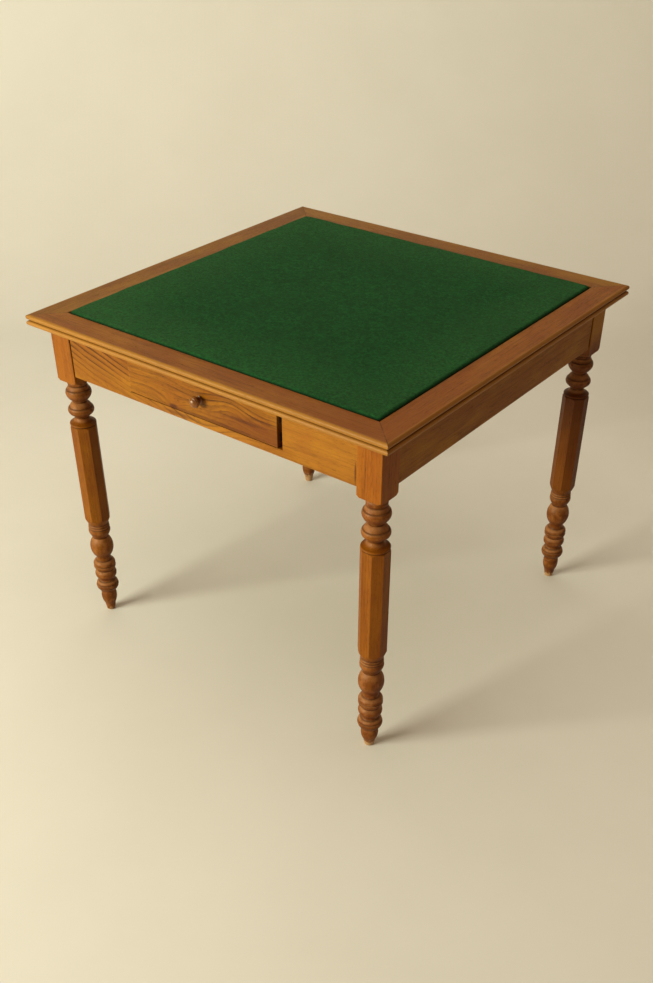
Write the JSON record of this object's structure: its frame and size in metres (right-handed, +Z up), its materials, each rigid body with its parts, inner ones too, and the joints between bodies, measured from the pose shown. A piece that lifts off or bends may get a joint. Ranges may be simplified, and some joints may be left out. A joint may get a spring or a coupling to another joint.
{
  "type": "card table",
  "caption": "Square oak gaming table with a cloth playing surface, turned and octagonal legs, and a small drawer with a turned knob.",
  "frame": {"origin": "on the floor under the middle of the table", "axes": "+Z up; the drawer opens towards -Y; +X is to the right of someone facing the drawer"},
  "size_m": [0.88, 0.88, 0.736],
  "materials": {
    "oak_border": "waxed, worn",
    "oak_apron": "waxed",
    "oak_leg": "waxed",
    "oak_drawer": "waxed",
    "knob_wood": "polished by hands",
    "inner_wood": "bare, aged",
    "drawer_wood": "bare, aged",
    "board": "bare, aged",
    "baize": "napped wool cloth",
    "tack_steel": "blued, dull",
    "screw_steel": "aged"
  },
  "bodies": {
    "table": {"apron_back": "oak_apron", "apron_front": "oak_apron", "apron_left": "oak_apron", "apron_right": "oak_apron", "board_screws": "screw_steel", "cloth": "baize", "cloth_tacks": "tack_steel", "drawer_guide_left": "inner_wood", "drawer_guide_right": "inner_wood", "drawer_runner_left": "inner_wood", "drawer_runner_right": "inner_wood", "drawer_stop_left": "inner_wood", "drawer_stop_right": "inner_wood", "glue_block_back_a": "inner_wood", "glue_block_back_b": "inner_wood", "glue_block_front_a": "inner_wood", "glue_block_front_b": "inner_wood", "glue_block_left_a": "inner_wood", "glue_block_left_b": "inner_wood", "glue_block_right_a": "inner_wood", "glue_block_right_b": "inner_wood", "guide_screws_left": "screw_steel", "guide_screws_right": "screw_steel", "leg_back_left": "oak_leg", "leg_back_right": "oak_leg", "leg_front_left": "oak_leg", "leg_front_right": "oak_leg", "mitre_splines": "inner_wood", "playing_board": "board", "top_rail_back": "oak_border", "top_rail_front": "oak_border", "top_rail_left": "oak_border", "top_rail_right": "oak_border"},
    "drawer": {"drawer_front": "oak_drawer", "drawer_side_left": "drawer_wood", "drawer_side_right": "drawer_wood", "drawer_back": "drawer_wood", "drawer_bottom": "drawer_wood", "drawer_bottom_nails": "tack_steel", "drawer_knob": "knob_wood"}
  },
  "joints": [
    {"name": "drawer_slide", "type": "slide", "parent": "table", "child": "drawer", "axis": [0, -1, 0], "range_m": [0, 0.28]}
  ]
}
